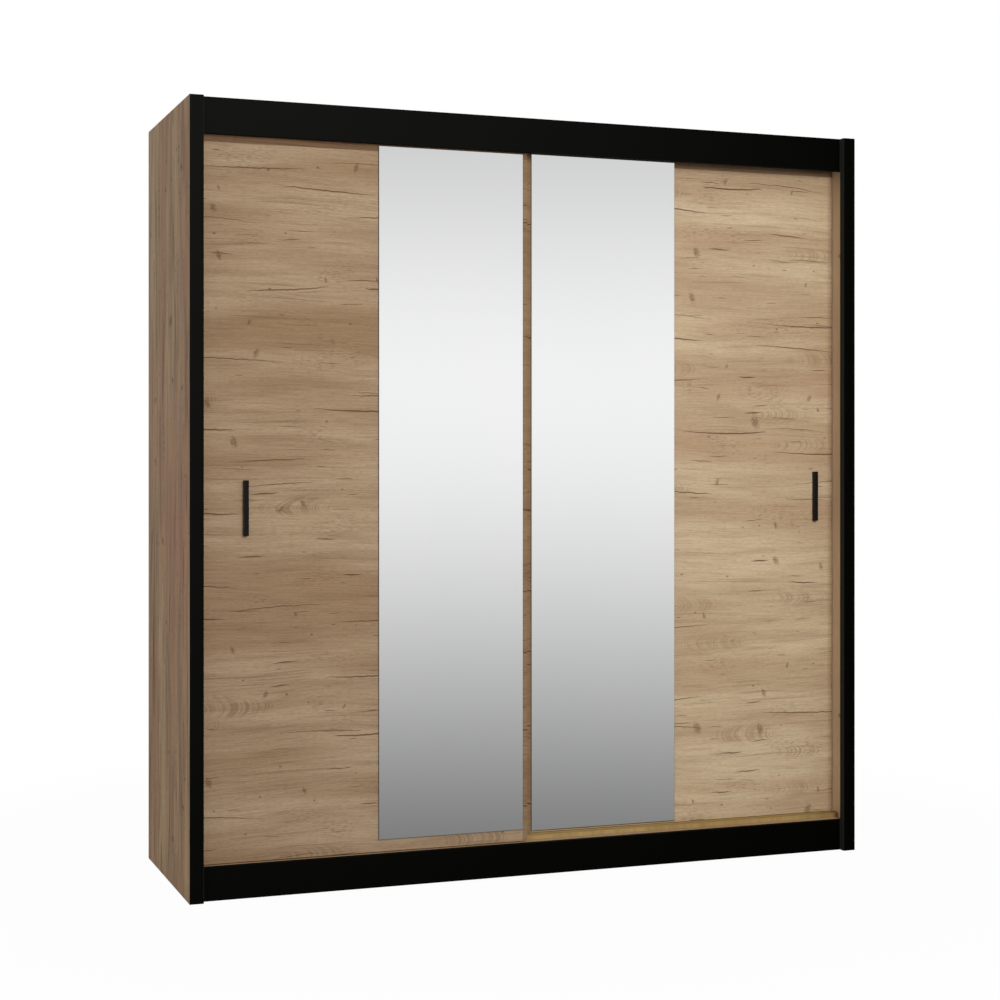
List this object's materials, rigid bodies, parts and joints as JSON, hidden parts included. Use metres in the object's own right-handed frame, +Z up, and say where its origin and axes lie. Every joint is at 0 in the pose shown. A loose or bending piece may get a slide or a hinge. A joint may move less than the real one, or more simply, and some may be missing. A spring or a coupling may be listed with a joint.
{
  "type": "sliding door wardrobe",
  "caption": "Tall free-standing wardrobe with sliding oak-decor doors, each with a frameless mirror and a slim bar handle, in a black front frame.",
  "frame": {"origin": "centre of the footprint, on the floor", "axes": "+Z up, +X to the right along the width, -Y out of the front (doors face -Y)"},
  "size_m": [2.03, 0.61, 2.15],
  "materials": {
    "oak_side": "weathered oak decor, vertical grain, matt",
    "oak_door_left": "rustic oak decor, horizontal grain with dark cracks, matt",
    "oak_door_right": "rustic oak decor, horizontal grain with cathedral figure, matt",
    "oak_dark": "darker oak decor, matt",
    "oak_inside": "plain oak decor, matt",
    "golden_oak": "golden oak decor, satin",
    "black_board": "black melamine with a fine pore, matt",
    "hardboard": "thin painted hardboard, matt",
    "mirror_glass": "silvered float glass, ground edges",
    "black_handle": "black powder coat, satin",
    "black_plastic": "moulded black plastic",
    "nylon_wheel": "white nylon",
    "aluminium_rail": "natural anodised extrusion",
    "chrome_rail": "chromed oval tube",
    "zinc_fitting": "zinc plated steel",
    "buffer_rubber": "grey rubber",
    "beech_dowel": "fluted beech"
  },
  "bodies": {
    "carcass": {"side_left": "oak_side", "side_right": "oak_side", "front_edge_bands": "black_board", "strip_left": "black_board", "strip_right": "black_board", "fascia": "black_board", "plinth_front": "black_board", "plinth_rear": "oak_inside", "centre_support": "oak_inside", "bottom_board": "oak_inside", "top_board": "oak_inside", "centre_partition": "oak_inside", "top_shelf": "oak_inside", "shelf_1": "oak_inside", "shelf_2": "oak_inside", "shelf_3": "oak_inside", "shelf_4": "oak_inside", "back_panel_left": "hardboard", "back_panel_right": "hardboard", "hanging_rail": "chrome_rail", "rail_sockets": "zinc_fitting", "track_board": "golden_oak", "bottom_rails": "aluminium_rail", "top_tracks": "aluminium_rail", "door_buffers": "buffer_rubber", "wall_brackets": "zinc_fitting", "cam_bolts": "zinc_fitting", "cam_locks": "zinc_fitting", "dowels": "beech_dowel", "shelf_pins": "zinc_fitting", "back_nails": "zinc_fitting", "wood_screws": "zinc_fitting", "partition_screws": "zinc_fitting"},
    "door_left": {"door_left_panel": "oak_door_left", "door_left_top_rail": "oak_dark", "door_left_mirror": "mirror_glass", "door_left_handle": "black_handle", "door_left_handle_screws": "zinc_fitting", "door_left_roller_housings": "black_plastic", "door_left_guide_brackets": "zinc_fitting", "door_left_axles": "zinc_fitting", "door_left_screws": "zinc_fitting"},
    "door_left_wheel_1": {"door_left_wheel_1": "nylon_wheel"},
    "door_left_guide_1": {"door_left_guide_1": "nylon_wheel"},
    "door_left_wheel_2": {"door_left_wheel_2": "nylon_wheel"},
    "door_left_guide_2": {"door_left_guide_2": "nylon_wheel"},
    "door_right": {"door_right_panel": "oak_door_right", "door_right_top_rail": "oak_dark", "door_right_mirror": "mirror_glass", "door_right_handle": "black_handle", "door_right_handle_screws": "zinc_fitting", "door_right_roller_housings": "black_plastic", "door_right_guide_brackets": "zinc_fitting", "door_right_axles": "zinc_fitting", "door_right_screws": "zinc_fitting"},
    "door_right_wheel_1": {"door_right_wheel_1": "nylon_wheel"},
    "door_right_guide_1": {"door_right_guide_1": "nylon_wheel"},
    "door_right_wheel_2": {"door_right_wheel_2": "nylon_wheel"},
    "door_right_guide_2": {"door_right_guide_2": "nylon_wheel"}
  },
  "joints": [
    {"name": "door_left_slide", "type": "slide", "parent": "carcass", "child": "door_left", "axis": [1, 0, 0], "range_m": [0, 1.028]},
    {"name": "door_left_wheel_1_spin", "type": "hinge", "parent": "door_left", "child": "door_left_wheel_1", "pos_m": [-0.905, -0.23, 0.1173], "axis": [0, 1, 0], "range_deg": [-20, 5630]},
    {"name": "door_left_guide_1_spin", "type": "hinge", "parent": "door_left", "child": "door_left_guide_1", "pos_m": [-0.905, -0.23, 2.119], "axis": [0, 0, 1], "range_deg": [-20, 7210]},
    {"name": "door_left_wheel_2_spin", "type": "hinge", "parent": "door_left", "child": "door_left_wheel_2", "pos_m": [-0.123, -0.23, 0.1173], "axis": [0, 1, 0], "range_deg": [-20, 5630]},
    {"name": "door_left_guide_2_spin", "type": "hinge", "parent": "door_left", "child": "door_left_guide_2", "pos_m": [-0.123, -0.23, 2.119], "axis": [0, 0, 1], "range_deg": [-20, 7210]},
    {"name": "door_right_slide", "type": "slide", "parent": "carcass", "child": "door_right", "axis": [1, 0, 0], "range_m": [-0.948, 0]},
    {"name": "door_right_wheel_1_spin", "type": "hinge", "parent": "door_right", "child": "door_right_wheel_1", "pos_m": [0.043, -0.18, 0.1173], "axis": [0, 1, 0], "range_deg": [-5200, 20]},
    {"name": "door_right_guide_1_spin", "type": "hinge", "parent": "door_right", "child": "door_right_guide_1", "pos_m": [0.043, -0.18, 2.119], "axis": [0, 0, 1], "range_deg": [-6650, 20]},
    {"name": "door_right_wheel_2_spin", "type": "hinge", "parent": "door_right", "child": "door_right_wheel_2", "pos_m": [0.905, -0.18, 0.1173], "axis": [0, 1, 0], "range_deg": [-5200, 20]},
    {"name": "door_right_guide_2_spin", "type": "hinge", "parent": "door_right", "child": "door_right_guide_2", "pos_m": [0.905, -0.18, 2.119], "axis": [0, 0, 1], "range_deg": [-6650, 20]}
  ],
  "couplings": [
    {"joint": "door_left_wheel_1_spin", "follows": "door_left_slide", "rad_per_m": 95.238},
    {"joint": "door_left_guide_1_spin", "follows": "door_left_slide", "rad_per_m": 121.95},
    {"joint": "door_left_wheel_2_spin", "follows": "door_left_slide", "rad_per_m": 95.238},
    {"joint": "door_left_guide_2_spin", "follows": "door_left_slide", "rad_per_m": 121.95},
    {"joint": "door_right_wheel_1_spin", "follows": "door_right_slide", "rad_per_m": 95.238},
    {"joint": "door_right_guide_1_spin", "follows": "door_right_slide", "rad_per_m": 121.95},
    {"joint": "door_right_wheel_2_spin", "follows": "door_right_slide", "rad_per_m": 95.238},
    {"joint": "door_right_guide_2_spin", "follows": "door_right_slide", "rad_per_m": 121.95}
  ]
}
